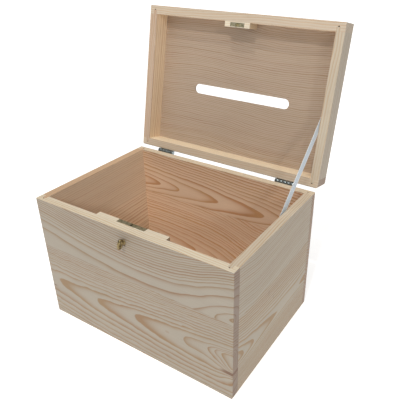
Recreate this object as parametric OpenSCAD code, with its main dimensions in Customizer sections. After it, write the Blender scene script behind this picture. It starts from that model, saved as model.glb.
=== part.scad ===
// Lockable pine box with a posting slot in its hinged lid.
// Millimetres. The origin is the middle of the underside, the front faces -Y and +Z is up.
// The lid is drawn open, held by its ribbon. Turning it by open_angle about the hinge pins shuts it.

/* [Box] */
// Outside width, left to right
box_w = 300; // [220:1:420]
// Outside depth, front to back
box_d = 209; // [150:1:320]
// Height of the body without the lid
body_h = 187; // [110:1:300]
// Thickness of the pine boards
board_t = 11.7; // [9.5:0.1:18]
// Thickness of the bottom sheet
bottom_t = 4; // [2.5:0.1:8]

/* [Lid] */
// Height of the lid's frame
lid_h = 29.5; // [24.5:0.5:60]
// Thickness of the lid's sheet
lid_panel_t = 3; // [2:0.1:5]
// Gap between the rims when the lid is shut
lid_gap = 0.4; // [0.3:0.05:1]
// How far the lid opens before the ribbon stops it, in degrees
open_angle = 101.7; // [92:0.1:110]

/* [Corner joints] */
// Thickness of the tongue on each end of a side board
tongue_t = 5.8; // [3:0.1:7]
// Length of the tongue
tongue_l = 5.5; // [3:0.1:7]
// Width of the saw kerf at the bottom of the groove
kerf_w = 2; // [1:0.1:3]
// Depth of that kerf
kerf_depth = 1.4; // [0.5:0.1:2]
// How far the bottom and lid sheets reach into the boards
sheet_lap = 3.5; // [3:0.1:5]

/* [Edges] */
// Radius of the upright edges at the front
front_corner_r = 1; // [0.5:0.1:3]
// Radius of the upright edges at the back
back_corner_r = 3; // [0.5:0.1:5]
// Radius of the underside's front edge
base_front_r = 1; // [0.5:0.1:4]
// Radius of the underside's side edges
base_side_r = 3.5; // [0.5:0.1:5]
// Radius of the underside's back edge
base_back_r = 7.6; // [0.5:0.1:7.8]
// Radius of the lid's top edges at the front and sides
lid_top_r = 2; // [0.5:0.1:4]
// Radius of the lid's top edge at the back
lid_back_r = 7.6; // [0.5:0.1:7.8]
// Radius of the two edges that meet at the hinges
seam_r = 1.5; // [1.4:0.1:1.8]

/* [Posting slot] */
// Length of the slot
slot_l = 157; // [60:1:180]
// Width of the slot
slot_w = 14; // [6:0.5:30]
// Slot centre to the right of the middle
slot_x = 1.5; // [-10:0.5:10]
// Slot centre behind the lid's front face
slot_y = 111; // [60:1:112]

/* [Lock] */
// Width of the wooden block round the lock
block_w = 108; // [60:1:140]
// Height of that block
block_h = 38; // [32:1:60]
// Thickness of the lock and strike blocks
block_t = 7.2; // [7:0.1:10]
// Wood left in front of the lock
lock_web = 0.8; // [0.5:0.1:1]
// Width of the lock
lock_w = 42.6; // [41:0.1:50]
// Height of the lock
lock_h = 25; // [24:0.5:30]
// Thickness of the lock
lock_t = 6; // [5.8:0.1:6]
// Thickness of the lock's folded case
case_t = 0.8; // [0.6:0.1:0.9]
// Thickness of the lock's cover
cover_t = 0.8; // [0.6:0.1:1]
// Depth of the key's axis below the rim
key_drop = 15; // [14.5:0.1:16]
// Travel of the bolt
bolt_throw = 4.4; // [4:0.1:4.6]
// Thickness of the bolt
bolt_t = 1.6; // [1.2:0.1:2]

/* [Strike] */
// Width of the wooden block behind the strike
strike_block_w = 39; // [32:1:60]
// Height of that block
strike_block_h = 20.5; // [12:0.5:21]
// Width of the strike plate
strike_w = 21.5; // [20:0.5:30]
// Thickness of the strike plate
strike_t = 1; // [0.8:0.1:1.5]
// Depth of the strike plate, front to back
strike_d = 5; // [4.5:0.1:5.4]
// Thickness of the hook
hook_t = 1.4; // [1:0.1:1.6]

/* [Key] */
// Height of the oval bow
bow_h = 15; // [12:0.5:20]
// Length of the bow along the key
bow_l = 8.6; // [8:0.1:12]
// Thickness of the bow
bow_t = 2.4; // [1.5:0.1:3]
// Radius of the shank
shank_r = 1.7; // [1.5:0.1:1.8]
// Radius of the collar against the front board
collar_r = 3.3; // [3:0.1:5]
// Length of the collar
collar_l = 2; // [1:0.1:3]
// Reach of the bit from the key's axis
bit_r = 5; // [4.5:0.1:5.2]
// Thickness of the bit
bit_t = 1.6; // [1.2:0.1:1.8]

/* [Hinges] */
// Length of a hinge
hinge_l = 28; // [20:1:40]
// Hinge centre in from the box's side
hinge_inset = 47.5; // [30:0.5:80]
// Height of a leaf from the pin
leaf_h = 12.5; // [11:0.5:16]
// Thickness of a leaf
leaf_t = 0.8; // [0.6:0.1:1.2]
// Outside radius of the knuckles
knuckle_r = 2.8; // [2.2:0.1:4]
// Radius of the pin
hinge_pin_r = 1.2; // [0.8:0.1:1.3]
// Distance between a leaf's two screws
leaf_screw_gap = 16; // [10:1:20]

/* [Lid stay] */
// Width of the ribbon
ribbon_w = 13; // [8:0.5:14]
// Thickness of the ribbon
ribbon_t = 0.5; // [0.3:0.1:1]
// Ribbon's screw in the body, forward of the back face
stay_body_y = 89; // [70:1:100]
// That screw's depth below the rim
stay_body_z = 14; // [12:0.5:30]
// Ribbon's screw in the lid, forward of the lid's back face
stay_lid_y = 100.5; // [80:0.5:110]
// That screw's distance from the lid's sheet
stay_lid_up = 12.5; // [11:0.5:16]
// Ribbon left beyond each screw
ribbon_tail = 8; // [4:0.5:9]

/* [Hidden] */
$fn = 64;

// Small clearances that pieces share
past = 1;             // how far a cut runs past the face it opens
running_gap = 0.05;   // between a pin and what turns on it
screw_gap = 0.05;     // between a screw and its hole
fit_gap = 0.2;        // round the lock and the strike plate in their recesses
side_gap = 0.3;       // between pieces that slide or swing past each other

// Places that several pieces use
side_x = box_w / 2;
front_y = -box_d / 2;
back_y = box_d / 2;
inner_x = side_x - board_t;
inner_front_y = front_y + board_t;
inner_back_y = back_y - board_t;
pin_y = back_y + knuckle_r;
pin_z = body_h + lid_gap / 2;
lid_rim_z = lid_gap / 2;      // the lid's rim above the pin's height, when shut
sheet_w = box_w - 2 * (board_t - sheet_lap);
sheet_d = box_d - 2 * (board_t - sheet_lap);

// Rounding that has to stay clear of the sheets' seats
seat_r = board_t - sheet_lap - 0.4;
base_back_round = min(base_back_r, seat_r);
base_side_round = min(base_side_r, seat_r);
lid_back_round = min(lid_back_r, seat_r);

// Lock: its front and back faces, the key's axis and the layer that bit and bolt share
lock_front_y = inner_front_y + lock_web;
lock_back_y = lock_front_y + lock_t;
lock_mid_y = lock_front_y + lock_t / 2;
key_z = body_h - key_drop;
bar_z = key_z + bit_r + 0.4;          // underside of the bolt's bar
bar_h = 1.5;
nose_h = 2.4;
nose_z = bar_z + bar_h + 2.1;
prong_z = key_z + shank_r + 0.5;      // lowest edge of the bolt's prongs
notch_left = bolt_throw - bit_t / 2 - 0.4;
notch_right = notch_left + 5.6;
prong_w = 3;
guide_r = 1.1;
left_guide_x = -9;
right_guide_x = notch_right + prong_w + 2.1;
slit_w = hook_t + 0.8;
slit_l = lock_t - 0.8;
hook_wall = 0.6;
hook_w = bolt_t + 2 * side_gap + 2 * hook_wall;
hook_low_z = nose_z - side_gap - hook_wall;
drill_pin_r = shank_r / 2;
lock_screw_r = 1;
lock_screw_x = lock_w / 2 - 3;
lock_screw_l = lock_t + lock_web + 5;
lock_post_r = 1.9;
keyhole_gap = 0.7;            // round the key in the wood

// Screws: shank radius, head radius and length for each use
hinge_screw_r = 1.1;
hinge_screw_head_r = 2.1;
hinge_screw_l = 9;
hinge_screw_z = 7.6;          // from the pin to the screws
strike_screw_r = 0.8;
strike_screw_head_r = 1.6;
strike_screw_l = 9;
strike_screw_x = strike_w / 2 - 3.2;
stay_screw_r = 1.2;
stay_screw_head_r = 3;
stay_screw_head_h = 1.7;
stay_screw_l = 8;
washer_r = 4.6;
washer_t = 0.6;
ribbon_gap = 0.15;            // on both sides of the ribbon
ribbon_x = inner_x - ribbon_gap - ribbon_t / 2;
stay_lid_z = lid_h - lid_panel_t - stay_lid_up;

pine = [0.80, 0.70, 0.56];
pine_warm = [0.74, 0.61, 0.47];
ply = [0.72, 0.60, 0.48];
zinc = [0.36, 0.39, 0.41];
steel = [0.52, 0.52, 0.48];
brass = [0.62, 0.54, 0.32];
ribbon_white = [0.80, 0.83, 0.86];

// ---- outlines and helpers -------------------------------------------------

// What a rounded corner takes off a square one, with its corner at the origin
module corner_waste(r) {
    if (r > 0)
        difference() {
            translate([-past, -past]) square(r + past);
            translate([r, r]) circle(r);
        }
}

// Rectangle from the origin with its own radius at each corner; 0 leaves a corner square
module rounded_rect(w, h, low_left, low_right, top_right, top_left) {
    difference() {
        square([w, h]);
        corner_waste(low_left);
        translate([w, 0]) rotate(90) corner_waste(low_right);
        translate([w, h]) rotate(180) corner_waste(top_right);
        translate([0, h]) rotate(270) corner_waste(top_left);
    }
}

// Block of the box's footprint, with rounded upright edges
module footprint(h) {
    translate([-side_x, front_y, 0])
        linear_extrude(h)
            rounded_rect(box_w, box_d, front_corner_r, front_corner_r, back_corner_r, back_corner_r);
}

// Extrudes an outline drawn in Y and Z along X, centred
module along_x(length) {
    rotate([90, 0, 90]) linear_extrude(length, center = true) children();
}

// Extrudes an outline drawn in X and Z along Y, from y upwards
module along_y(y, length) {
    translate([0, y + length, 0]) rotate([90, 0, 0]) linear_extrude(length) children();
}

// Outside of the whole body as one block: boards are cut from it
module body_envelope() {
    intersection() {
        footprint(body_h);
        along_x(box_w + 2 * past)
            translate([front_y, 0])
                rounded_rect(box_d, body_h, base_front_r, base_back_round, seam_r, 0);
        along_y(front_y - past, box_d + 2 * past)
            translate([-side_x, 0])
                rounded_rect(box_w, body_h, base_side_round, base_side_round, 0, 0);
    }
}

// Outside of the whole lid, shut, with its rim at z = 0
module lid_envelope() {
    intersection() {
        footprint(lid_h);
        along_x(box_w + 2 * past)
            translate([front_y, 0])
                rounded_rect(box_d, lid_h, 0, seam_r, lid_back_round, lid_top_r);
        along_y(front_y - past, box_d + 2 * past)
            translate([-side_x, 0])
                rounded_rect(box_w, lid_h, 0, 0, lid_top_r, lid_top_r);
    }
}

// Puts a piece drawn shut, with the lid's rim at z = 0, where the open lid holds it
module open_lid() {
    translate([0, pin_y, pin_z])
        rotate([-open_angle, 0, 0])
            translate([0, -pin_y, lid_rim_z])
                children();
}

// Block that spans the box's width, from y0 to y1
module across(y0, y1, h) {
    translate([-side_x - past, y0, -past]) cube([box_w + 2 * past, y1 - y0, h + 2 * past]);
}

// Puts a piece drawn on the right where side says: 1 is the right, -1 the left
module on_side(side) {
    if (side < 0) mirror([1, 0, 0]) children();
    else children();
}

// The same for a piece drawn at the back: -1 is the front
module on_end(end) {
    if (end < 0) mirror([0, 1, 0]) children();
    else children();
}

// Groove and saw kerf at both ends of a front or back board; end is -1 at the front, 1 at the back
module end_grooves(end, h) {
    for (side = [-1, 1])
        on_end(end)
            on_side(side)
                translate([inner_x, inner_back_y, -past])
                    linear_extrude(h + 2 * past)
                        union() {
                            translate([0, -past]) square([tongue_t, tongue_l + past]);
                            translate([(tongue_t - kerf_w) / 2, 0]) square([kerf_w, tongue_l + kerf_depth]);
                        }
}

// Side board on the right, between the front and back boards, with a tongue at each end
module side_board(h) {
    translate([inner_x, inner_front_y, -past])
        cube([board_t + past, inner_back_y - inner_front_y, h + 2 * past]);
    translate([inner_x, inner_front_y - tongue_l, -past])
        cube([tongue_t, inner_back_y - inner_front_y + 2 * tongue_l, h + 2 * past]);
}

// Flat sheet that closes the bottom or the lid, with its lower face at z
module closing_sheet(z, t) {
    translate([-sheet_w / 2, -sheet_d / 2, z]) cube([sheet_w, sheet_d, t]);
}

// Round pieces along X or Y, from where they are put
module rod_x(r, length) { rotate([0, 90, 0]) cylinder(r = r, h = length); }
module rod_y(r, length) { rotate([-90, 0, 0]) cylinder(r = r, h = length); }

// Countersunk screw with its head's flat at the origin and its shank along -Z
module flat_screw(r, head_r, length) {
    head_h = head_r - r;
    difference() {
        union() {
            translate([0, 0, -length]) cylinder(r = r, h = length);
            translate([0, 0, -head_h]) cylinder(r1 = r, r2 = head_r, h = head_h);
        }
        screw_cross(head_r);
    }
}

// Cross slot in a screw's head, at the origin
module screw_cross(head_r) {
    arm = head_r * 1.1;
    width = head_r * 0.28;
    depth = head_r * 0.35;
    for (turn = [0, 90])
        rotate(turn)
            translate([-arm / 2, -width / 2, -depth]) cube([arm, width, depth + past]);
}

// Space for such a screw
module flat_screw_hole(r, head_r, length) {
    head_h = head_r - r;
    translate([0, 0, -length - screw_gap]) cylinder(r = r + screw_gap, h = length + past);
    translate([0, 0, -head_h]) cylinder(r1 = r + screw_gap, r2 = head_r + screw_gap, h = head_h);
    translate([0, 0, -0.01]) cylinder(r = head_r + screw_gap, h = past);
}

// Keyhole outline: a round hole with a slot below it for the bit
module keyhole(gap) {
    circle(shank_r + gap);
    translate([-bit_t / 2 - gap, -bit_r - gap]) square([bit_t + 2 * gap, bit_r + gap]);
}

// The keyhole as a cut through Y, from y onwards
module keyhole_cut(y, length, gap) {
    along_y(y, length) translate([0, key_z]) keyhole(gap);
}

// ---- body boards ----------------------------------------------------------

module front_panel() {
    color(pine)
        difference() {
            intersection() {
                body_envelope();
                across(front_y, inner_front_y, body_h);
            }
            end_grooves(-1, body_h);
            closing_sheet(-past, bottom_t + past);
            keyhole_cut(front_y - past, board_t + 2 * past, keyhole_gap);
            lock_screw_places() screw_pilot(lock_screw_r, lock_screw_l);
        }
}

module back_panel() {
    color(pine)
        difference() {
            intersection() {
                body_envelope();
                across(inner_back_y, back_y, body_h);
            }
            end_grooves(1, body_h);
            closing_sheet(-past, bottom_t + past);
            for (side = [-1, 1])
                body_hinge_screw_places(side)
                    flat_screw_hole(hinge_screw_r, hinge_screw_head_r, hinge_screw_l);
        }
}

module side_panel(side) {
    intersection() {
        body_envelope();
        on_side(side)
            difference() {
                side_board(body_h);
                closing_sheet(-past, bottom_t + past);
            }
    }
}

module left_panel() {
    color(pine) side_panel(-1);
}

module right_panel() {
    color(pine)
        difference() {
            side_panel(1);
            body_stay_place() stay_screw_hole();
        }
}

module bottom_panel() {
    color(ply) closing_sheet(0, bottom_t);
}

// ---- lock -----------------------------------------------------------------

module lock_block() {
    pocket_w = lock_w + 2 * fit_gap;
    pocket_h = lock_h + fit_gap;
    color(pine_warm)
        difference() {
            translate([-block_w / 2, inner_front_y, body_h - block_h])
                cube([block_w, block_t, block_h]);
            translate([-pocket_w / 2, lock_front_y, body_h - pocket_h])
                cube([pocket_w, block_t, pocket_h + past]);
            keyhole_cut(inner_front_y - past, block_t + 2 * past, keyhole_gap);
            lock_screw_places() screw_pilot(lock_screw_r, lock_screw_l);
        }
}

// Folded tray: top plate with the hook's slit, front wall, ends and floor; open towards the inside
module lock_case() {
    low_z = body_h - lock_h;
    depth = lock_t - cover_t;
    color(steel)
        difference() {
            union() {
                difference() {
                    union() {
                        translate([-lock_w / 2, lock_front_y, low_z]) cube([lock_w, depth, lock_h]);
                        translate([-lock_w / 2, lock_front_y, body_h - case_t])
                            cube([lock_w, lock_t, case_t]);
                    }
                    translate([-lock_w / 2 + case_t, lock_front_y + case_t, low_z + case_t])
                        cube([lock_w - 2 * case_t, depth, lock_h - 2 * case_t]);
                }
                for (x = [left_guide_x, right_guide_x])
                    translate([x, lock_front_y, bar_z - side_gap - guide_r]) rod_y(guide_r, depth);
                lock_screw_places()
                    translate([0, 0, -lock_t]) cylinder(r = lock_post_r, h = depth);
            }
            translate([-slit_w / 2, lock_mid_y - slit_l / 2, body_h - case_t - past])
                cube([slit_w, slit_l, case_t + 2 * past]);
            keyhole_cut(lock_front_y - past, case_t + 2 * past, side_gap);
            lock_screw_places() screw_pilot(lock_screw_r, lock_screw_l);
        }
}

module lock_cover() {
    color(steel)
        difference() {
            translate([-lock_w / 2, lock_back_y - cover_t, body_h - lock_h])
                cube([lock_w, cover_t, lock_h - case_t]);
            lock_screw_places() screw_pilot(lock_screw_r, lock_screw_l);
            translate([0, lock_back_y - cover_t - past, key_z])
                rod_y(drill_pin_r, cover_t + 2 * past);
        }
}

// Bar with two prongs that the bit pushes, and a nose that crosses the slit
module lock_bolt() {
    bar_left = left_guide_x - 3;
    bar_right = right_guide_x + 3;
    tower_x = bolt_throw + hook_t / 2 + 0.5;
    nose_x = slit_w / 2 + side_gap;
    color(steel)
        along_y(lock_mid_y - bolt_t / 2, bolt_t)
            union() {
                translate([bar_left, bar_z]) square([bar_right - bar_left, bar_h]);
                translate([notch_left - 2 * prong_w, prong_z])
                    square([2 * prong_w, bar_z + bar_h - prong_z]);
                translate([notch_right, prong_z]) square([prong_w, bar_z + bar_h - prong_z]);
                translate([tower_x, bar_z]) square([4, nose_z + nose_h - bar_z]);
                translate([nose_x, nose_z]) square([tower_x + 4 - nose_x, nose_h]);
            }
}

// Bent leaf spring that steadies the bar
module bolt_spring() {
    left = -lock_w / 2 + case_t;
    right = -5;
    middle = (left + right) / 2;
    low = bar_z + bar_h + 0.3;
    thick = 0.4;
    color(steel)
        along_y(lock_mid_y - bolt_t / 2, bolt_t)
            polygon([[left, low + 2], [middle, low], [right, low + 0.9],
                [right, low + 0.9 + thick], [middle, low + thick], [left, low + 2 + thick]]);
}

// Fixed pin that the key's hollow shank turns on
module drill_pin() {
    color(steel)
        translate([0, lock_front_y + case_t, key_z])
            rod_y(drill_pin_r, lock_t - case_t);
}

// Four places on the cover, each with its child's +Z pointing back out of the wood
module lock_screw_places() {
    low_z = body_h - lock_h + 3;
    high_z = body_h - case_t - 2.6;
    for (x = [-1, 1])
        for (z = [low_z, high_z])
            translate([x * lock_screw_x, lock_back_y, z]) rotate([-90, 0, 0]) children();
}

module screw_pilot(r, length) {
    translate([0, 0, -length - screw_gap]) cylinder(r = r + screw_gap, h = length + past);
}

module lock_screws() {
    head_h = 0.35;
    color(steel)
        lock_screw_places()
            difference() {
                union() {
                    translate([0, 0, -lock_screw_l]) cylinder(r = lock_screw_r, h = lock_screw_l);
                    cylinder(r = lock_post_r, h = head_h);
                }
                translate([0, 0, head_h]) screw_cross(1.2);
            }
}

module key() {
    bow_y = front_y - side_gap - collar_l - bow_l;
    shank_end = lock_back_y - cover_t - side_gap;
    bow_round = bow_l / 2;
    bow_wall = 2.5;
    hole_round = bow_round - bow_wall;
    color(brass)
        difference() {
            union() {
                translate([-bow_t / 2, bow_y, 0]) rotate([90, 0, 90])
                    linear_extrude(bow_t)
                        difference() {
                            translate([0, key_z - bow_h / 2])
                                rounded_rect(bow_l, bow_h, bow_round, bow_round, bow_round, bow_round);
                            translate([bow_wall, key_z - bow_h / 2 + bow_wall])
                                rounded_rect(bow_l - 2 * bow_wall, bow_h - 2 * bow_wall,
                                    hole_round, hole_round, hole_round, hole_round);
                        }
                translate([0, bow_y + bow_l - 0.6, key_z]) rod_y(collar_r * 0.7, 0.7);
                translate([0, bow_y + bow_l, key_z]) rod_y(collar_r, collar_l);
                translate([0, bow_y + bow_l, key_z]) rod_y(shank_r, shank_end - bow_y - bow_l);
                translate([-bit_t / 2, lock_mid_y - bolt_t / 2 - 0.2, key_z - bit_r])
                    cube([bit_t, bolt_t + 0.4, bit_r - 0.5 * shank_r - 0.2]);
            }
            translate([0, lock_front_y, key_z])
                rod_y(drill_pin_r + running_gap, lock_t);
        }
}

// ---- strike on the lid, drawn shut with the lid's rim at z = 0 -----------

module strike_screw_places() {
    for (x = [-1, 1])
        translate([x * strike_screw_x, lock_mid_y, 0]) rotate([180, 0, 0]) children();
}

module strike_block() {
    recess_w = strike_w + 2 * fit_gap;
    recess_d = strike_d + 2 * fit_gap;
    color(pine)
        open_lid()
            difference() {
                translate([-strike_block_w / 2, inner_front_y, 0])
                    cube([strike_block_w, block_t, strike_block_h]);
                translate([-recess_w / 2, lock_mid_y - recess_d / 2, -past])
                    cube([recess_w, recess_d, strike_t + past]);
                strike_screw_places()
                    flat_screw_hole(strike_screw_r, strike_screw_head_r, strike_screw_l);
            }
}

module strike_plate() {
    rim_z = body_h + lid_gap;
    hook_z = hook_low_z - rim_z;
    hole_high = nose_z + nose_h + side_gap - rim_z;
    color(brass)
        open_lid()
            difference() {
                union() {
                    translate([-strike_w / 2, lock_mid_y - strike_d / 2, 0])
                        cube([strike_w, strike_d, strike_t]);
                    translate([-hook_t / 2, lock_mid_y - hook_w / 2, hook_z])
                        cube([hook_t, hook_w, strike_t - hook_z]);
                }
                translate([-hook_t, lock_mid_y - hook_w / 2 + hook_wall, hook_z + hook_wall])
                    cube([2 * hook_t, hook_w - 2 * hook_wall, hole_high - hook_z - hook_wall]);
                strike_screw_places()
                    flat_screw_hole(strike_screw_r, strike_screw_head_r, strike_screw_l);
            }
}

module strike_screws() {
    color(brass)
        open_lid()
            strike_screw_places() flat_screw(strike_screw_r, strike_screw_head_r, strike_screw_l);
}

// ---- lid ------------------------------------------------------------------

module lid_sheet_space() {
    closing_sheet(lid_h - lid_panel_t, lid_panel_t + past);
}

module lid_front_rail() {
    color(pine)
        open_lid()
            difference() {
                intersection() {
                    lid_envelope();
                    across(front_y, inner_front_y, lid_h);
                }
                end_grooves(-1, lid_h);
                lid_sheet_space();
            }
}

module lid_back_rail() {
    color(pine)
        open_lid()
            difference() {
                intersection() {
                    lid_envelope();
                    across(inner_back_y, back_y, lid_h);
                }
                end_grooves(1, lid_h);
                lid_sheet_space();
                for (side = [-1, 1])
                    lid_hinge_screw_places(side)
                        flat_screw_hole(hinge_screw_r, hinge_screw_head_r, hinge_screw_l);
            }
}

module lid_side_rail(side) {
    intersection() {
        lid_envelope();
        on_side(side)
            difference() {
                side_board(lid_h);
                lid_sheet_space();
            }
    }
}

module lid_left_rail() {
    color(pine) open_lid() lid_side_rail(-1);
}

module lid_right_rail() {
    color(pine)
        open_lid()
            difference() {
                lid_side_rail(1);
                lid_stay_place() stay_screw_hole();
            }
}

module lid_panel() {
    end_r = slot_w / 2;
    color(ply)
        open_lid()
            difference() {
                closing_sheet(lid_h - lid_panel_t, lid_panel_t);
                translate([slot_x, front_y + slot_y, lid_h - lid_panel_t - past])
                    linear_extrude(lid_panel_t + 2 * past)
                        union() {
                            square([slot_l - slot_w, slot_w], center = true);
                            for (x = [-1, 1])
                                translate([x * (slot_l / 2 - end_r), 0]) circle(end_r);
                        }
            }
}

// ---- hinges ---------------------------------------------------------------

hinge_x = side_x - hinge_inset;
knuckle_count = 5;
knuckle_l = hinge_l / knuckle_count;
knuckle_gap = 0.15;

// One leaf round the pin's axis, hanging down from it. first is 0 for the leaf with the end knuckles
module hinge_leaf(first) {
    difference() {
        union() {
            translate([-hinge_l / 2, -knuckle_r, -leaf_h])
                cube([hinge_l, leaf_t, leaf_h - knuckle_r - side_gap]);
            for (i = [first : 2 : knuckle_count - 1]) {
                start = -hinge_l / 2 + i * knuckle_l + (i > 0 ? knuckle_gap : 0);
                length = knuckle_l - (i > 0 ? knuckle_gap : 0) - (i < knuckle_count - 1 ? knuckle_gap : 0);
                translate([start, 0, 0]) rod_x(knuckle_r, length);
                translate([start, -knuckle_r, -leaf_h + 1]) cube([length, leaf_t, leaf_h - 1]);
            }
        }
        translate([-hinge_l / 2 - past, 0, 0])
            rod_x(hinge_pin_r + running_gap, hinge_l + 2 * past);
        for (x = [-1, 1])
            translate([x * leaf_screw_gap / 2, -knuckle_r + leaf_t, -hinge_screw_z])
                rotate([-90, 0, 0])
                    flat_screw_hole(hinge_screw_r, hinge_screw_head_r, hinge_screw_l);
    }
}

// Shut, the lid's leaf is the body's leaf upside down
module body_leaf(side) {
    color(zinc) translate([side * hinge_x, pin_y, pin_z]) hinge_leaf(0);
}

module lid_leaf(side) {
    color(zinc)
        open_lid()
            translate([side * hinge_x, pin_y, -lid_rim_z])
                mirror([0, 0, 1]) hinge_leaf(1);
}

module hinge_pin(side) {
    color(zinc)
        translate([side * hinge_x - hinge_l / 2, pin_y, pin_z]) rod_x(hinge_pin_r, hinge_l);
}

module left_hinge_body_leaf() { body_leaf(-1); }
module left_hinge_lid_leaf() { lid_leaf(-1); }
module left_hinge_pin() { hinge_pin(-1); }
module right_hinge_body_leaf() { body_leaf(1); }
module right_hinge_lid_leaf() { lid_leaf(1); }
module right_hinge_pin() { hinge_pin(1); }

module leaf_screw_row(side, y, z) {
    for (x = [-1, 1])
        translate([side * hinge_x + x * leaf_screw_gap / 2, y, z]) rotate([-90, 0, 0]) children();
}

module body_hinge_screw_places(side) {
    leaf_screw_row(side, back_y + leaf_t, pin_z - hinge_screw_z) children();
}

module lid_hinge_screw_places(side) {
    leaf_screw_row(side, back_y + leaf_t, hinge_screw_z - lid_rim_z) children();
}

module body_hinge_screws() {
    color(zinc)
        for (side = [-1, 1])
            body_hinge_screw_places(side)
                flat_screw(hinge_screw_r, hinge_screw_head_r, hinge_screw_l);
}

module lid_hinge_screws() {
    color(zinc)
        open_lid()
            for (side = [-1, 1])
                lid_hinge_screw_places(side)
                    flat_screw(hinge_screw_r, hinge_screw_head_r, hinge_screw_l);
}

// ---- lid stay -------------------------------------------------------------

// Both screws start at the ribbon's inner face, with their heads towards -X
stay_screw_x = ribbon_x - ribbon_t / 2 - ribbon_gap;

module body_stay_place() {
    translate([stay_screw_x, back_y - stay_body_y, body_h - stay_body_z]) rotate([0, 90, 0]) children();
}

module lid_stay_place() {
    translate([stay_screw_x, back_y - stay_lid_y, stay_lid_z]) rotate([0, 90, 0]) children();
}

module stay_screw_hole() {
    cylinder(r = stay_screw_r + screw_gap, h = stay_screw_l + screw_gap);
}

module stay_screw() {
    cylinder(r = stay_screw_r, h = stay_screw_l);
    translate([0, 0, -washer_t]) cylinder(r = washer_r, h = washer_t);
    difference() {
        translate([0, 0, -washer_t - stay_screw_head_h])
            cylinder(r1 = stay_screw_head_r * 0.75, r2 = stay_screw_head_r, h = stay_screw_head_h);
        translate([0, 0, -washer_t - stay_screw_head_h]) rotate([180, 0, 0]) screw_cross(2.2);
    }
}

module body_stay_screw() {
    color(steel) body_stay_place() stay_screw();
}

module lid_stay_screw() {
    color(steel) open_lid() lid_stay_place() stay_screw();
}

// Straight from screw to screw, so its length follows from where they are
module stay_ribbon() {
    from_y = back_y - stay_body_y;
    from_z = body_h - stay_body_z;
    lid_y = back_y - stay_lid_y - pin_y;
    lid_z = stay_lid_z + lid_rim_z;
    to_y = pin_y + lid_y * cos(open_angle) + lid_z * sin(open_angle);
    to_z = pin_z - lid_y * sin(open_angle) + lid_z * cos(open_angle);
    length = norm([to_y - from_y, to_z - from_z]);
    color(ribbon_white)
        translate([ribbon_x, from_y, from_z])
            rotate([atan2(to_z - from_z, to_y - from_y), 0, 0])
                difference() {
                    translate([-ribbon_t / 2, -ribbon_tail, -ribbon_w / 2])
                        cube([ribbon_t, length + 2 * ribbon_tail, ribbon_w]);
                    for (y = [0, length])
                        translate([-past, y, 0]) rod_x(stay_screw_r + screw_gap, 2 * past);
                }
}

front_panel();
back_panel();
left_panel();
right_panel();
bottom_panel();
lock_block();
lock_case();
lock_cover();
lock_bolt();
bolt_spring();
drill_pin();
lock_screws();
key();
left_hinge_body_leaf();
left_hinge_lid_leaf();
left_hinge_pin();
right_hinge_body_leaf();
right_hinge_lid_leaf();
right_hinge_pin();
body_hinge_screws();
lid_hinge_screws();
lid_front_rail();
lid_back_rail();
lid_left_rail();
lid_right_rail();
lid_panel();
strike_block();
strike_plate();
strike_screws();
stay_ribbon();
body_stay_screw();
lid_stay_screw();
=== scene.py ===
import math

import bmesh
import bpy
import numpy as np
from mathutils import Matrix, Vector


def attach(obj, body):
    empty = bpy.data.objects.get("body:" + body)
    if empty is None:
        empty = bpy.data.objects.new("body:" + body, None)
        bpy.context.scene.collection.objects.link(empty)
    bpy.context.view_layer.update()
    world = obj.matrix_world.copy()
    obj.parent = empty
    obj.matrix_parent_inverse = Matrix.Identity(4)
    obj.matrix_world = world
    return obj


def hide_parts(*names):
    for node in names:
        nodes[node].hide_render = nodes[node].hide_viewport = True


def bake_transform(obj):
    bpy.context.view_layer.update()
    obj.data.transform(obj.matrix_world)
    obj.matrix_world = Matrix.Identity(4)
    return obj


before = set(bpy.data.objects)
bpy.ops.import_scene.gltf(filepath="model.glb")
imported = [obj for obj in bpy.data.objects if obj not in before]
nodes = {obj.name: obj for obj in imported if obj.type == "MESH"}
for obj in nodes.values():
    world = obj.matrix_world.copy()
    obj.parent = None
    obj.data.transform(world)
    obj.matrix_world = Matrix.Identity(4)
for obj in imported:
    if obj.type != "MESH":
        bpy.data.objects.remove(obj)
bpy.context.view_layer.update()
print("frame loaded,", len(nodes), "nodes")

mm = 0.001
box = {  # millimetres and degrees, as the CAD has them
    "hinge": (0, 107.3, 187.2), "openAngle": 101.7,
    "roomHalfWide": 138.5, "roomHalfDeep": 93.0,  # to just inside the boards
    "bodyRim": 187.0, "lidRim": 187.5,
}


class Wire:  # a socket of a material, which + - * / ** combine with numbers and other wires
    def __init__(self, sheet, socket):
        self.sheet = sheet
        self.socket = socket

    def math(self, operation, other=0.0):
        return self.sheet.add("Math", {"operation": operation}, {0: self, 1: other})

    def __add__(self, other):
        return self.math("ADD", other)

    def __sub__(self, other):
        return self.math("SUBTRACT", other)

    def __rsub__(self, other):
        return self.sheet.add("Math", {"operation": "SUBTRACT"}, {0: other, 1: self})

    def __mul__(self, other):
        return self.math("MULTIPLY", other)

    def __truediv__(self, other):
        return self.math("DIVIDE", other)

    def __pow__(self, other):
        return self.math("POWER", other)

    def __neg__(self):
        return self.math("MULTIPLY", -1.0)

    def __abs__(self):
        return self.math("ABSOLUTE")

    __radd__ = __add__
    __rmul__ = __mul__


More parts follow.
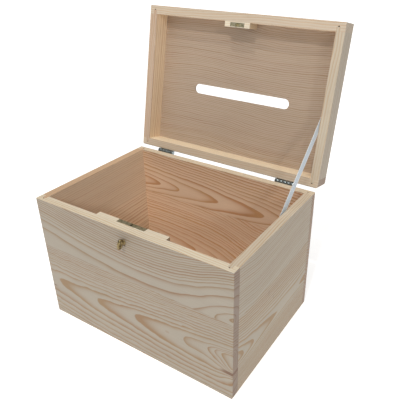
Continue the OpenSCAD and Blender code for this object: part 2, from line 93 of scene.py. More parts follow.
class Sheet:  # one material's node tree
    def __init__(self, name):
        self.material = bpy.data.materials.new(name)
        self.material.use_nodes = True
        self.tree = self.material.node_tree
        self.tree.nodes.clear()

    def add(self, kind, settings=None, sockets=None, out=0):  # any node; stops are a ramp's (place, grey)
        node = self.tree.nodes.new("ShaderNode" + kind)
        for key, value in (settings or {}).items():
            if key == "stops":
                while len(node.color_ramp.elements) < len(value):
                    node.color_ramp.elements.new(0.5)
                for element, (place, grey) in zip(node.color_ramp.elements, value):
                    element.position = place
                for element, (place, grey) in zip(node.color_ramp.elements, value):
                    element.color = (grey, grey, grey, 1)
            elif key == "blend":
                node.color_ramp.interpolation = value
            else:
                setattr(node, key, value)
        for key, value in (sockets or {}).items():
            if isinstance(value, Wire):
                self.tree.links.new(value.socket, node.inputs[key])
            else:
                node.inputs[key].default_value = value
        return Wire(self, node.outputs[out]) if node.outputs else None  # the output node has none

    def split(self, vector):
        first = self.add("SeparateXYZ", {}, {0: vector})
        return [Wire(self, first.socket.node.outputs[i]) for i in range(3)]

    def join(self, x, y, z):
        return self.add("CombineXYZ", {}, {0: x, 1: y, 2: z})

    def soft(self, value, low, high):  # 0 at low, 1 at high, smooth between them
        return self.add("MapRange", {"interpolation_type": "SMOOTHSTEP"},
                        {0: value, 1: low, 2: high, 3: 0.0, 4: 1.0})

    def noise(self, vector, scale=1.0, detail=2.0, rough=0.5):
        return self.add("TexNoise", {"noise_dimensions": "3D"},
                        {"Vector": vector, "Scale": scale, "Detail": detail, "Roughness": rough})

    def blend(self, share, first, second, how="MIX"):
        return self.add("Mix", {"data_type": "RGBA", "blend_type": how},
                        {0: share, 6: first, 7: second}, out=2)

    def curve(self, value, low, high, points, top, how="CARDINAL"):
        # the height, at value, of a smooth or straight line through the points
        share = (value - low) / (high - low)
        stops = [((place - low) / (high - low), height / top) for place, height in points]
        return self.add("ValToRGB", {"stops": stops, "blend": how}, {0: share}) * top

    def bump(self, height, distance, strength):
        return self.add("Bump", {}, {"Strength": strength, "Distance": distance, "Height": height})

    def finish(self, colour, rough, metal=0.0, normal=None, **others):  # others: Sheen_Weight and such
        sockets = {"Base Color": colour, "Roughness": rough, "Metallic": metal}
        if normal is not None:
            sockets["Normal"] = normal
        sockets.update({key.replace("_", " "): value for key, value in others.items()})
        shader = self.add("BsdfPrincipled", {}, sockets)
        self.add("OutputMaterial", {}, {0: shader})
        return self.material


def rgb(red, green, blue):  # a colour as a screen shows it, 0 to 255, made linear for the shader
    parts = [((c / 255 + 0.055) / 1.055) ** 2.4 if c > 10 else c / 3295 for c in (red, green, blue)]
    return (*parts, 1)


def turnBack(sheet, vector, onLid, centre=(0, 0, 0)):  # a lid piece's vector, as if the lid were shut
    if not onLid:
        return vector
    return sheet.add("VectorRotate", {"rotation_type": "X_AXIS"},
                     {"Vector": vector, "Center": centre, "Angle": math.radians(box["openAngle"])})


def place(sheet, onLid=False):  # object coordinates in millimetres
    spot = turnBack(sheet, sheet.add("TexCoord", out=3), onLid, [c * mm for c in box["hinge"]])
    return sheet.add("VectorMath", {"operation": "SCALE"}, {0: spot, "Scale": 1 / mm})


def facing(sheet, onLid):  # how squarely the surface faces each axis, 0 to 1
    return [abs(part) for part in sheet.split(turnBack(sheet, sheet.add("TexCoord", out=1), onLid))]


def insideRoom(sheet, xyz):  # 1 on every face that looks into the box
    reach = (abs(xyz[0]) - box["roomHalfWide"]).math("MAXIMUM", abs(xyz[1]) - box["roomHalfDeep"])
    return sheet.soft(reach, 0.25, -0.1)


def insideBody(sheet, xyz):
    return insideRoom(sheet, xyz) * sheet.soft(xyz[2], box["bodyRim"], box["bodyRim"] - 0.6)


def insideLid(sheet, xyz):
    return insideRoom(sheet, xyz) * sheet.soft(xyz[2], box["lidRim"], box["lidRim"] + 0.7)


woodTone = {  # the sawn wood's own colours, then what each kind of surface multiplies them by; the faces and rims multipliers differ partly as painted light from above, and the inside ones are lighter partly as painted fill light
    "early": (0.76, 0.66, 0.49, 1), "late": (0.70, 0.56, 0.41, 1), "lateRed": (0.68, 0.50, 0.38, 1),
    "amber": (0.93, 0.63, 0.32, 1), "mark": rgb(112, 86, 70),
    "faces": (0.585, 0.59, 0.645, 1), "inside": (1.12, 0.97, 0.955, 1), "end": (0.47, 0.42, 0.45, 1),
    "rims": (1.14, 1.19, 1.29, 1), "lidRims": (0.90, 0.88, 0.94, 1), "lidInsideAndFill": (1.26, 1.20, 1.20, 1),
}
woodGrain = {  # noise: millimetres along, into and up the board, detail, roughness
    "wander": (90, 40, 26, 2, 0.5), "ripple": (20, 16, 8, 2, 0.5),  # slow and quick bends of the rings
    "fibre": (9, 1.6, 1.6, 3, 0.6), "streak": (60, 0.9, 0.9, 2, 0.55),
    "blotch": (70, 30, 30, 1, 0.5), "canal": (5, 0.45, 0.45, 1, 0.5),  # resin canals, fine dark dashes
}
woodLook = {
    "farthest": 150.0, "upTop": 300.0, "depthTop": 100.0,  # reach of the ring, height and depth curves
    "blur": 2.6,  # power of a ring's fade from pale to dark, higher is thinner
    "ringDrop": (0.93, 1.0), "each": (0.9, 0.7), "fade": (0.9, 0.65),  # a ring's end, and its uneven strength
    "rimRing": 3.3, "rimFade": 0.25, "rimAmber": 0.6, "redFrom": (0.42, 0.62), "canalFrom": (0.70, 0.80),
    "fibre": 0.09, "streak": 0.17, "blotch": 0.10, "canal": 0.06, "seam": 0.16, "seamFrom": (0.05, 0.35),
    "rough": 0.60, "bump": 0.00025,
}


def grain(sheet, kind, along, shift=0.0):  # noise stretched along the board
    longWay, inward, upward, detail, rough = woodGrain[kind]
    run, thick, up = along
    spot = sheet.join(run / longWay, thick / inward, up / upward + shift)
    return sheet.noise(spot, 1.0, float(detail), rough)


def spotReach(spot, run, up):  # (along / size)^2 + (up / size)^2, which is 1 at the edge of a knot or mark
    return (abs((run - spot["at"][0]) / spot["size"][0]) ** 2.0
            + abs((up - spot["at"][1]) / spot["size"][1]) ** 2.0)


def stripRings(sheet, strip, board, along, depthIn, wander, ripple):
    # Distance to the pith is (across^point + inward^point)^(1 / point): point 2 makes round arches, less
    # makes pointed ones. A line through the ring radii turns it into a ring number.
    low, high = board.get("span", (-150.0, 150.0))
    run, thick, up = along
    middle = sheet.curve(run, low, high, strip["middle"], woodLook["upTop"])
    depth = sheet.curve(run, low, high, strip["depth"], woodLook["depthTop"])
    over = up - middle + wander * strip.get("wander", 5.0) + ripple * strip.get("ripple", 2.0)
    across = (over.math("MAXIMUM", 0.0) * strip.get("above", 1.0)
              - over.math("MINIMUM", 0.0) * strip.get("under", 1.0))
    inward = abs(depth + depthIn * strip.get("side", 1.0) + wander * 2.0)
    point = strip.get("point", 2.0)
    radius = (across ** point + inward ** point) ** (1.0 / point)
    uneven = sheet.noise(sheet.join(radius / 11.0, 0.0, board["seed"]), 1.0, 1.0) - 0.5
    radius = radius + uneven * strip["ring"] * strip.get("uneven", 1.5)
    rings = strip.get("rings", [strip["ring"]])
    farthest = woodLook["farthest"]
    if strip.get("straight"):
        number = over / strip["ring"] + uneven * 2.0
    else:
        points = [(0.0, 0.0)] + [(ring, i + 1.0) for i, ring in enumerate(rings)]
        points.append((farthest, len(rings) + (farthest - rings[-1]) / strip["ring"]))
        number = sheet.curve(radius, 0.0, farthest, points, points[-1][1], "LINEAR")
    blur = woodLook["blur"]
    sharp = number.math("LESS_THAN", len(rings)) * (strip.get("sharp", blur) - blur) + blur
    return number, sharp


def boardRings(sheet, board, along, depthIn, wander, ripple):
    # A board is glued from strips, listed from the top down; each takes over below its own top.
    values, seam = None, 0.0
    for strip in board["strips"]:
        number, sharp = stripRings(sheet, strip, board, along, depthIn, wander, ripple)
        found = [number, sharp, strip.get("dark", 1.0), strip.get("tone", 0.0), strip.get("amber", 0.0)]
        if values is None:
            values = found
            continue
        below = along[2].math("LESS_THAN", strip["top"])
        values = [below * (new - old) + old for new, old in zip(found, values)]
        seam = 1.0 - sheet.soft(abs(along[2] - strip["top"]), *woodLook["seamFrom"]) + seam
    return values + [seam]


def pine(name, board, onLid=False):
    sheet = Sheet(name)
    xyz = sheet.split(place(sheet, onLid))
    order = board.get("axes", (0, 1, 2))
    run, thick, up = (xyz[i] for i in order)
    up = up + board.get("raise", 0.0)
    seed = board["seed"]
    for knot in board.get("knots", ()):  # the rings draw together towards it
        reach = spotReach(knot, run, up)
        up = up + (up - knot["at"][1]) * (-reach).math("EXPONENT") * knot["pull"]
    along = (run, thick, up)
    squarely = facing(sheet, onLid)
    rim = sheet.soft(squarely[2], 0.6, 0.95) * board.get("rims", 1.0)  # sawn rims are cleaner and yellower, and the rim tint below also paints on light from above

    wander = grain(sheet, "wander", along, seed) - 0.5
    ripple = grain(sheet, "ripple", along, seed) - 0.5
    depthIn = (thick - board["face"]) * board.get("inward", 1.0)
    number, sharp, dark, tone, amber, seam = boardRings(sheet, board, along, depthIn, wander, ripple)
    alongRim = thick / woodLook["rimRing"] + wander * 3.0 + run / 120.0 + seed
    number = number + (alongRim - number) * rim

    # Late wood is fraction^sharp, dropped at the ring's end, times a strength for each ring and place.
    fraction = number.math("FRACT")
    count = number.math("FLOOR")
    each = sheet.add("TexWhiteNoise", {"noise_dimensions": "1D"}, {"W": count + seed * 7.0}, out=0)
    fade = sheet.noise(sheet.join(run / 45.0, thick / 60.0, count * 1.7 + seed), 1.0, 1.0)
    late = (fraction ** sharp) * (1.0 - sheet.soft(fraction, *woodLook["ringDrop"]))
    late = late * (each * woodLook["each"][0] + woodLook["each"][1])
    late = late * (fade * woodLook["fade"][0] + woodLook["fade"][1])
    late = (late * dark * (1.0 - rim * woodLook["rimFade"])).math("MINIMUM", 1.0)

    red = sheet.noise(sheet.join(run / 120.0, thick / 30.0, count * 0.37), 1.0, 0.0)
    lateColour = sheet.blend(sheet.soft(red, *woodLook["redFrom"]), woodTone["late"], woodTone["lateRed"])
    lateColour = sheet.blend(rim * woodLook["rimAmber"] + amber * (1.0 - rim), lateColour, woodTone["amber"])
    colour = sheet.blend(late, (1, 1, 1, 1), lateColour)
    colour = sheet.blend(1.0, colour, woodTone["early"], "MULTIPLY")

    # rims facing up take a tint about twice as light as the side faces: partly the rims' cleaner, yellower
    # wood, partly painted light from above
    tint = sheet.blend(rim, board.get("tint", woodTone["faces"]), board.get("rimTintAndLight", woodTone["rims"]))
    # inside faces get a lighter, warmer tint: partly the wood's warmer colour inside, partly painted fill
    # light that lifts the shade inside the box and the lid
    if "inside" in board:
        tint = sheet.blend(board["inside"](sheet, xyz), tint, board.get("insideTintAndFill", woodTone["inside"]))
    endGrain = sheet.soft(squarely[order[0]], 0.75, 0.98)
    tint = sheet.blend(endGrain, tint, board.get("endTint", woodTone["end"]))
    colour = sheet.blend(1.0, colour, tint, "MULTIPLY")

    fibre = grain(sheet, "fibre", along) - 0.5
    streak = grain(sheet, "streak", along) - 0.5
    blotch = grain(sheet, "blotch", along, 5.0) - 0.5
    canal = sheet.soft(grain(sheet, "canal", along), *woodLook["canalFrom"])
    light = 1.0 + fibre * woodLook["fibre"] + streak * woodLook["streak"] + blotch * woodLook["blotch"]
    light = light + tone - canal * woodLook["canal"] - seam * woodLook["seam"]
    for mark in board.get("marks", ()):
        cover = (1.0 - sheet.soft(spotReach(mark, run, up), 0.2, 1.0)) * mark["dark"]
        colour = sheet.blend(cover, colour, mark.get("colour", woodTone["mark"]))
    colour = sheet.blend(1.0, colour, sheet.join(light, light, light), "MULTIPLY")
    height = late * 0.5 + fibre * 0.7 + streak * 0.5
    rough = woodLook["rough"] + fibre * 0.16 - late * 0.08
    normal = sheet.bump(height, woodLook["bump"], 0.5)
    return sheet.finish(colour, rough, normal=normal, Specular_IOR_Level=0.35)


# A board's run, thickness and height follow its axes. Middle and depth are the pith's height and its depth
# behind the face, at points along the board. Rings lists the first radii, and ring is the spacing after.
frontBoard = {
    # the front's tint is darker than the other faces to offset the lamps and the glowing floor: painted shade
    "face": -104.5, "seed": 1.3, "inside": insideBody, "tint": (0.515, 0.52, 0.575, 1),
    "endTint": (0.38, 0.335, 0.36, 1),
    "strips": [
        {"middle": [(-150, 120), (-90, 112), (-30, 106), (20, 104), (80, 107), (115, 114), (150, 124)],
         "depth": [(-150, 22), (-107, 24), (20, 26), (80, 22), (115, 14), (150, 5)],
         "rings": [6.5, 11, 20, 32.5, 43.4, 48.8, 52.3], "ring": 3.2, "wander": 3.6, "ripple": 1.6,
         "uneven": 0.8, "sharp": 6.0, "amber": 0.15, "dark": 1.3},
        {"top": 116, "middle": [(-150, 62), (-63, 59), (2, 61), (80, 63), (115, 65), (150, 67)],
         "depth": [(-150, 46), (-138, 45), (-63, 39), (2, 33), (80, 24), (115, 19.6), (150, 12.6)],
         "rings": [12, 15.2, 17.2, 19.6, 24, 33, 39, 45, 51.5, 58, 64, 69], "ring": 4.2, "above": 1.6,
         "wander": 3.0, "ripple": 5.0, "uneven": 0.25, "tone": -0.01, "sharp": 3.6, "amber": 0.35,
         "dark": 1.15},
    ],
    "knots": [{"at": (154, 41), "size": (20, 13), "pull": 1.9}],
    "marks": [  # the knot's dark streak, a chip and a small fleck
        {"at": (151, 42.5), "size": (21, 8.5), "dark": 0.95, "colour": rgb(124, 94, 76)},
        {"at": (-148, 47.5), "size": (7, 1.2), "dark": 0.8},
        {"at": (56, 60.5), "size": (4, 2.4), "dark": 0.3, "colour": rgb(150, 118, 88)},
    ],
}
rightBoard = {
    "axes": (1, 0, 2), "span": (-105.0, 105.0), "face": 150.0, "inward": -1.0, "seed": 4.1,
    "inside": insideBody,
    # the right face's tint is darker to offset the side lamp: painted shade
    "tint": (0.555, 0.56, 0.605, 1), "rimTintAndLight": (0.93, 0.94, 1.015, 1),
    "strips": [
        {"middle": [(-105, 68), (-65, 61), (-38, 59), (28, 66), (60, 71), (105, 74)],
         "depth": [(-105, 8), (105, 8)], "rings": [30, 45, 50, 54, 59, 64], "ring": 3.4,
         "wander": 2.0, "ripple": 1.4, "amber": 0.1, "sharp": 5.0},
        {"top": 116, "middle": [(-105, 60), (-80, 56), (-50, 54), (27, 54), (105, 54)],
         "depth": [(-105, 13), (-93, 16.5), (-80, 20), (-54.6, 24.5), (-38, 26.5), (-5, 29.2), (27, 30),
                   (52, 30.6), (75, 30), (105, 28.3)],
         "rings": [14, 20, 24.5, 30, 33.5, 37, 40.5], "ring": 3.4, "under": 1.8, "wander": 1.6,
         "ripple": 1.6, "uneven": 0.3, "amber": 0.45, "dark": 2.1, "sharp": 4.6},
    ],
    "marks": [  # two grey smudges
        {"at": (-21, 104), "size": (2.2, 5.0), "dark": 0.30, "colour": rgb(120, 112, 104)},
        {"at": (-8, 90), "size": (2.0, 4.0), "dark": 0.26, "colour": rgb(120, 112, 104)},
    ],
}
backBoard = {
    "face": 92.8, "seed": 7.7, "inside": insideBody, "rimTintAndLight": (1.04, 1.07, 1.15, 1),
    "strips": [
        {"middle": [(-150, 136), (0, 134.5), (150, 134)],
         "depth": [(-150, 20), (-107, 23), (-68, 25.8), (7, 31), (83, 36.3), (150, 41)],
         "rings": [19, 23, 25.8, 31, 36.3, 40], "ring": 3.5, "wander": 2.5, "uneven": 0.3,
         "dark": 1.5, "point": 1.75, "amber": 0.15, "sharp": 4.0},
        {"top": 116, "middle": [(-150, 30), (-30, 30), (20, 22), (63, 8), (150, 0)],
         "depth": [(-150, 20), (150, 40)], "ring": 4.4, "ripple": 3.0, "amber": 0.35},
    ],
}
leftBoard = {
    "axes": (1, 0, 2), "span": (-105.0, 105.0), "face": -138.3, "inward": -1.0, "seed": 9.2,
    "inside": insideBody,
    # the left inner wall's inside tint brightens it past the wood's own colour: painted fill light standing
    # in for bounce light
    "insideTintAndFill": (1.27, 1.24, 1.30, 1), "rimTintAndLight": (0.93, 0.75, 0.66, 1),
    "strips": [
        {"middle": [(-105, 60), (105, 66)], "depth": [(-105, 40), (105, 46)],
         "ring": 3.0, "wander": 2.0, "dark": 0.45},
        {"top": 116, "middle": [(-105, 40), (105, 44)], "depth": [(-105, 30), (105, 30)],
         "ring": 4.4, "wander": 2.5, "dark": 0.75, "tone": 0.05},
        {"top": 60, "middle": [(-105, 20), (105, 26)], "depth": [(-105, 10), (105, 16)],
         "ring": 5.2, "wander": 3.0, "dark": 0.9, "tone": -0.05},
    ],
}
lidRail = {
    "face": -104.5, "seed": 2.6, "inside": insideLid, "insideTintAndFill": woodTone["lidInsideAndFill"],
    "rimTintAndLight": woodTone["lidRims"], "endTint": (0.645, 0.63, 0.67, 1),
    "strips": [{"middle": [(-150, 170), (150, 176)], "depth": [(-150, 14), (150, 20)],
                "ring": 3.4, "wander": 3.0, "dark": 0.7}],
}
lidBackRail = {
    # the lid back rail's inside tint is well above one: painted fill light on the lid's inner face
    "face": 92.8, "seed": 5.6, "inside": insideLid, "insideTintAndFill": (1.31, 1.30, 1.32, 1),
    "rimTintAndLight": woodTone["lidRims"], "endTint": (0.44, 0.38, 0.39, 1),
    "strips": [{"middle": [(-150, 166), (150, 160)], "depth": [(-150, 18), (150, 12)],
                "ring": 3.6, "wander": 3.0, "dark": 0.6}],
}
lidRightSide = {
    "axes": (1, 0, 2), "span": (-105.0, 105.0), "face": 138.3, "seed": 3.3,
    "inside": insideLid, "insideTintAndFill": woodTone["lidInsideAndFill"], "rimTintAndLight": (0.83, 0.835, 0.89, 1),
    "strips": [{"middle": [(-105, 175), (105, 168)], "depth": [(-105, 16), (105, 10)],
                "ring": 3.8, "wander": 3.0, "dark": 0.7}],
}
lidLeftSide = {
    **lidRightSide, "face": -138.3, "inward": -1.0, "seed": 11.0, "rimTintAndLight": (0.80, 0.705, 0.72, 1),
}
smallBlock = {
    "face": -92.8, "seed": 6.4, "endTint": (0.82, 0.78, 0.76, 1),
    "strips": [{"middle": [(-150, 140), (150, 150)], "depth": [(-150, 20), (150, 24)],
                "ring": 3.0, "wander": 2.0, "dark": 0.5}],
}
lidSheet = {
    "axes": (0, 2, 1), "raise": 110.0, "face": 214.0, "seed": 8.8, "tint": (0.70, 0.64, 0.67, 1), "rims": 0.0,
    "strips": [{"middle": [(-150, 100), (-60, 98), (20, 103), (90, 105), (150, 100)],
                "depth": [(-150, 60), (150, 66)], "ring": 2.6, "wander": 9.0, "ripple": 1.6,
                "dark": 0.8, "side": 0.3, "straight": True}],
}
bottomSheet = {**lidSheet, "face": 0.0}


def paint(finishMade, *names):
    for name in names:
        slots = nodes[name].data.materials
        slots.clear()
        slots.append(finishMade)


woodPieces = {  # the wood's name, its settings, and whether it rides on the lid
    "front_panel": ("pineFront", frontBoard, False), "right_panel": ("pineRight", rightBoard, False),
    "back_panel": ("pineBack", backBoard, False), "left_panel": ("pineLeft", leftBoard, False),
    "bottom_panel": ("pineBottom", bottomSheet, False), "lock_block": ("pineBlock", smallBlock, False),
    "lid_front_rail": ("pineLidFront", lidRail, True), "lid_back_rail": ("pineLidBack", lidBackRail, True),
    "lid_right_rail": ("pineLidRight", lidRightSide, True),
    "lid_left_rail": ("pineLidLeft", lidLeftSide, True),
    "strike_block": ("pineStrike", smallBlock, True), "lid_panel": ("lidSheetWood", lidSheet, True),
}
for node, (woodName, board, onLid) in woodPieces.items():
    paint(pine(woodName, board, onLid), node)
print("pine made")

metalLook = {
    "blotch": 0.35, "fine": 2.2, "scratch": (0.25, 3.0, 3.0),  # how close together, per millimetre
    "wearFrom": (0.35, 0.68), "shade": (0.86, 0.28), "bump": 0.00006,
}


def metal(name, colour, rough, wear):
    # Dull plating: blotches of tarnish, fine grime and thin scratches, each one noise
    sheet = Sheet(name)
    spot = place(sheet)
    blotch = sheet.noise(spot, metalLook["blotch"], 3.0, 0.6)
    fine = sheet.noise(spot, metalLook["fine"], 3.0, 0.7)
    scratchSpot = [part * close for part, close in zip(sheet.split(spot), metalLook["scratch"])]
    scratch = sheet.noise(sheet.join(*scratchSpot))
    tone = sheet.blend(sheet.soft(blotch, *metalLook["wearFrom"]), colour, wear)
    shade = metalLook["shade"][0] + fine * metalLook["shade"][1]
    tone = sheet.blend(1.0, tone, sheet.join(shade, shade, shade), "MULTIPLY")
    roughness = rough + (blotch - 0.5) * 0.3 + (scratch - 0.5) * 0.15
    return sheet.finish(tone, roughness, 1.0, sheet.bump(fine + scratch, metalLook["bump"], 0.5))


lockSteel = metal("lockPlating", rgb(222, 208, 172), 0.46, rgb(176, 164, 130))
hingeZinc = metal("hingePlating", rgb(160, 170, 173), 0.32, rgb(128, 138, 141))
keyBrass = metal("keyBrass", rgb(158, 141, 102), 0.34, rgb(110, 93, 63))
strikeBrass = metal("strikeBrass", rgb(226, 218, 186), 0.42, rgb(176, 168, 136))
paint(lockSteel, "lock_case", "lock_cover", "lock_bolt", "bolt_spring", "drill_pin", "lock_screws",
      "body_stay_screw", "lid_stay_screw")
paint(hingeZinc, "left_hinge_body_leaf", "left_hinge_lid_leaf", "left_hinge_pin", "right_hinge_body_leaf",
      "right_hinge_lid_leaf", "right_hinge_pin", "body_hinge_screws", "lid_hinge_screws")
paint(strikeBrass, "strike_plate", "strike_screws")
print("metals made")


def shell(name, parts, finishMade):  # one object from closed (points, polygons) parts, given in millimetres
    starts = np.cumsum([0] + [len(points) for points, polygons in parts])
    faces = [[i + start for i in polygon]
             for start, (points, polygons) in zip(starts, parts) for polygon in polygons]
    mesh = bpy.data.meshes.new(name)
    mesh.from_pydata(np.concatenate([points for points, polygons in parts]) * mm, [], faces)
    turned = bmesh.new()
    turned.from_mesh(mesh)
    bmesh.ops.recalc_face_normals(turned, faces=turned.faces[:])
    turned.to_mesh(mesh)
    turned.free()
    mesh.polygons.foreach_set("use_smooth", np.ones(len(mesh.polygons), bool))
    mesh.materials.append(finishMade)
    made = bpy.data.objects.new(name, mesh)
    bpy.context.scene.collection.objects.link(made)
    return made


def tube(loops, closed=False):  # faces over an array of loops, stations by points by xyz
    stations, around = loops.shape[:2]
    index = np.arange(stations * around).reshape(stations, around)
    first = index if closed else index[:-1]
    second = np.roll(index, -1, 0) if closed else index[1:]
    quads = np.stack([first, second, np.roll(second, -1, 1), np.roll(first, -1, 1)], -1).reshape(-1, 4)
    polygons = quads.tolist()
    if not closed:
        polygons += [index[0].tolist(), index[-1].tolist()]
    return loops.reshape(-1, 3), polygons


keyShape = {  # profile and bit as the CAD has them; the bow is a wire bent into an oval
    "axis": (0.0, 172.0), "lean": 14.0, "bowMiddle": -111.1, "bowReach": (2.7, 5.9), "wire": (1.6, 1.85),
    "squareness": 0.9, "around": 48, "stations": 120,
    "turned": [(-91.9, 0.9), (-87.15, 0.9), (-87.1, 1.45), (-87.35, 1.7), (-104.6, 1.7), (-104.75, 2.3),
               (-104.85, 3.0), (-105.15, 3.3), (-105.45, 3.25), (-105.7, 2.6), (-105.95, 2.55), (-106.2, 3.1),
               (-106.5, 3.15), (-106.8, 2.8), (-107.0, 2.1), (-107.5, 1.5)],
    "bit": [(-90, 167), (-90, 170.95), (-88, 170.95), (-88, 167), (-88.7, 167), (-88.7, 168.2),
            (-89.3, 168.2), (-89.3, 167)],
    "bitThick": 1.6,
}


def buildKey(shape):
    # The turned part is a profile of (place, radius) spun about the key's axis. The bow's wire follows
    # sign(cos) |cos|^squareness by sign(sin) |sin|^squareness, with an oval section square to that path.
    spin = np.linspace(0, 2 * np.pi, shape["around"], endpoint=False)
    profile = np.array(shape["turned"], float)
    places = np.broadcast_to(profile[:, :1], (len(profile), len(spin)))
    rings = np.stack([np.cos(spin) * profile[:, 1:], places, np.sin(spin) * profile[:, 1:]], -1)
    along = np.linspace(0, 2 * np.pi, shape["stations"], endpoint=False)[:, None]
    reachY, reachZ = shape["bowReach"]
    cosine, sine = np.cos(along), np.sin(along)
    middleY = reachY * np.sign(cosine) * np.abs(cosine) ** shape["squareness"]
    middleZ = reachZ * np.sign(sine) * np.abs(sine) ** shape["squareness"]
    outY, outZ = cosine / reachY, sine / reachZ
    length = np.hypot(outY, outZ)
    wireIn, wireOut = shape["wire"]
    x = np.sin(spin) * wireOut + along * 0
    y = shape["bowMiddle"] + middleY + outY / length * np.cos(spin) * wireIn
    z = middleZ + outZ / length * np.cos(spin) * wireIn
    lean = math.radians(shape["lean"])
    bow = np.stack([x * math.cos(lean) + z * math.sin(lean), y, z * math.cos(lean) - x * math.sin(lean)], -1)
    flat = np.array(shape["bit"], float)
    half = shape["bitThick"] / 2
    bit = np.stack([np.stack([np.full(len(flat), side), flat[:, 0], flat[:, 1] - shape["axis"][1]], -1)
                    for side in (-half, half)])
    lift = np.array([shape["axis"][0], 0.0, shape["axis"][1]])
    return shell("brassKey", [tube(rings + lift), tube(bow + lift, True), tube(bit + lift)], keyBrass)


brassKey = buildKey(keyShape)
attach(brassKey, "key")
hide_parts("key")
print("key made")

ribbonShape = {
    "bodyEnd": (137.9, 15.5, 173.0), "lidEnd": (137.9, 142.15, 285.47), "tail": 8.0, "width": 13.0,
    "thick": 0.34, "selvedge": 0.12, "cup": 0.10, "twist": 0.05, "scallop": 0.004,
    "columns": 30, "stations": 420,
}
clothLook = {
    "middle": rgb(196, 208, 219), "edge": rgb(240, 243, 245), "edgeFrom": (0.36, 0.47),  # share of the width
    "ribEvery": 0.62, "threads": 34,  # millimetres from rib to rib, and threads across
    "rib": 0.045, "thread": 0.02, "drift": 0.14, "slub": 0.08,  # how much each darkens or lightens
    "rough": 0.42, "sheen": 0.25, "bump": 0.00008,
}


def ribbonCloth(look):
    # Crosswise ribs of grosgrain with fine threads along them, and paler bound edges; u is across, v is along
    sheet = Sheet("ribbonWeave")
    u, v = sheet.split(sheet.add("UVMap", {"uv_map": "weave"}))[:2]
    edge = sheet.soft(abs(u - 0.5), *look["edgeFrom"])
    rib = (v * (2 * math.pi / look["ribEvery"])).math("SINE")
    thread = (u * (2 * math.pi * look["threads"])).math("SINE")
    drift = sheet.noise(sheet.join(u * 3.0, v / 14.0, 0.0)) - 0.5
    slub = sheet.noise(sheet.join(u * 40.0, v / 2.5, 3.0)) - 0.5
    colour = sheet.blend(edge, look["middle"], look["edge"])
    light = 1.0 + rib * look["rib"] * (1.0 - edge) + thread * look["thread"]
    light = light + drift * look["drift"] + slub * look["slub"]
    colour = sheet.blend(1.0, colour, sheet.join(light, light, light), "MULTIPLY")
    normal = sheet.bump(rib * 0.6 + thread * 0.3 + slub * 0.6, look["bump"], 0.6)
    return sheet.finish(colour, look["rough"] + slub * 0.1, normal=normal, Sheen_Weight=look["sheen"])


def buildRibbon(shape):
    # A straight run from screw to screw. Its section is a thin slab, slightly cupped, with thicker edges:
    # the thickness is (thick + selvedge x bound) x sqrt(1 - |u|^40), where u runs from -1 to 1 across.
    start, end = np.array(shape["bodyEnd"]), np.array(shape["lidEnd"])
    span = np.linalg.norm(end - start)
    along = (end - start) / span
    across = np.array([0.0, -along[2], along[1]])
    v = np.linspace(-shape["tail"], span + shape["tail"], shape["stations"])[:, None]
    side = np.linspace(-1, 1, shape["columns"])
    u = np.concatenate([side, side[::-1]])[None, :]
    face = np.concatenate([np.ones(len(side)), -np.ones(len(side))])[None, :]
    bound = np.clip((np.abs(u) - 0.86) / 0.08, 0, 1)
    rounded = np.sqrt(np.clip(1.0001 - np.abs(u) ** 40, 0.02, 1))
    half = (shape["thick"] + shape["selvedge"] * bound) / 2 * rounded
    wide = shape["width"] / 2 * (1 + shape["scallop"] * np.sin(v * 3.3) * np.abs(u))
    middle = start + along * v[..., None] + across * (u * wide)[..., None]
    cup = shape["cup"] * (u ** 2 - 1) + shape["twist"] * np.sin(v / 9.0) * u
    loops = middle + np.array([1.0, 0, 0]) * (cup + face * half)[..., None]
    made = shell("stayRibbon", [tube(loops)], ribbonCloth(clothLook))
    flat = np.stack([np.broadcast_to(part, loops.shape[:2]) for part in (u * 0.5 + 0.5, v)], -1)
    corner = np.empty(len(made.data.loops), np.int32)
    made.data.loops.foreach_get("vertex_index", corner)
    weave = made.data.uv_layers.new(name="weave")
    weave.data.foreach_set("uv", flat.reshape(-1, 2)[corner].astype(np.float32).ravel())
    return made


stayRibbon = buildRibbon(ribbonShape)
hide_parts("stay_ribbon")
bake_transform(stayRibbon)
print("ribbon made")

softEdge = {  # the worn edge and the weld in millimetres, and the least angle that is worn
    "wood": 0.45, "metal": 0.15, "weld": 0.002, "angle": 40, "segments": 2,
}
for name, node in nodes.items():
    if node.hide_render:
        continue
    weld = node.modifiers.new("weld", "WELD")
    weld.merge_threshold = softEdge["weld"] * mm
    bevel = node.modifiers.new("softEdge", "BEVEL")
    bevel.width = softEdge["wood" if name in woodPieces else "metal"] * mm
    bevel.segments = softEdge["segments"]
    bevel.limit_method = "ANGLE"
    bevel.angle_limit = math.radians(softEdge["angle"])
    bevel.harden_normals = True
print("edges softened")

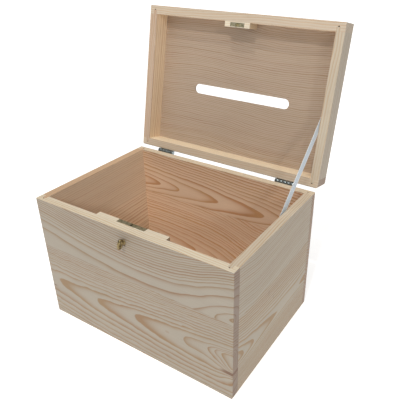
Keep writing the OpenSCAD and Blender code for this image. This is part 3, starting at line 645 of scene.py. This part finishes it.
view = {
    "from": (353.0, -445.8, 487.4), "towards": (71.38, 0.0, 197.82),
    "lens": 44.03, "sensor": 36.0, "shift": (-0.0588, 0.0042), "nearest": 10.0,
}
camera = bpy.data.objects.new("camera", bpy.data.cameras.new("camera"))
bpy.context.scene.collection.objects.link(camera)
camera.location = Vector(view["from"]) * mm
camera.rotation_euler = (Vector(view["towards"]) - Vector(view["from"])).to_track_quat("-Z", "Y").to_euler()
camera.data.lens = view["lens"]
camera.data.sensor_width = view["sensor"]
camera.data.shift_x, camera.data.shift_y = view["shift"]
camera.data.clip_start = view["nearest"] * mm
bpy.context.scene.camera = camera

lamps = {  # direction to the lamp, how wide it looks in degrees, strength and colour
    "main": {"towards": (0.14, -0.69, 0.71), "wide": 4, "strength": 0.74, "colour": (1.0, 0.96, 0.90)},
    "high": {"towards": (0.04, -0.47, 0.88), "wide": 1.5, "strength": 0.46, "colour": (1.0, 0.97, 0.92)},
    "side": {"towards": (0.72, -0.60, 0.42), "wide": 6, "strength": 0.32, "colour": (1.0, 0.97, 0.93)},
    "above": {"towards": (0.05, -0.05, 1.0), "wide": 50, "strength": 0.86, "colour": (1.0, 0.985, 0.955)},
}
for name, lamp in lamps.items():
    data = bpy.data.lights.new(name, "SUN")
    data.angle = math.radians(lamp["wide"])
    data.energy = lamp["strength"]
    data.color = lamp["colour"]
    light = bpy.data.objects.new(name, data)
    bpy.context.scene.collection.objects.link(light)
    light.rotation_euler = (-Vector(lamp["towards"])).to_track_quat("-Z", "Y").to_euler()

studio = {
    "sky": (0.94, 0.97, 1.0, 1), "skyStrength": 0.20,
    "floorHalf": 6.0, "floorColour": (0.93, 0.93, 0.93, 1), "floorRough": 0.8, "floorGlow": 0.55,  # metres
}
world = bpy.data.worlds.new("studio")
bpy.context.scene.world = world
world.use_nodes = True
world.node_tree.nodes["Background"].inputs[0].default_value = studio["sky"]
world.node_tree.nodes["Background"].inputs[1].default_value = studio["skyStrength"]
bpy.context.scene.view_settings.view_transform = "Standard"

floorMesh = bpy.data.meshes.new("floor")
half = studio["floorHalf"]
floorCorners = [(-half, -half, 0), (half, -half, 0), (half, half, 0), (-half, half, 0)]
floorMesh.from_pydata(floorCorners, [], [(0, 1, 2, 3)])
floor = bpy.data.objects.new("floor", floorMesh)
bpy.context.scene.collection.objects.link(floor)
paleFloor = Sheet("paleFloor").finish(studio["floorColour"], studio["floorRough"],
                                      Emission_Color=(1, 1, 1, 1), Emission_Strength=studio["floorGlow"])
floorMesh.materials.append(paleFloor)
print("camera, lamps and floor made")
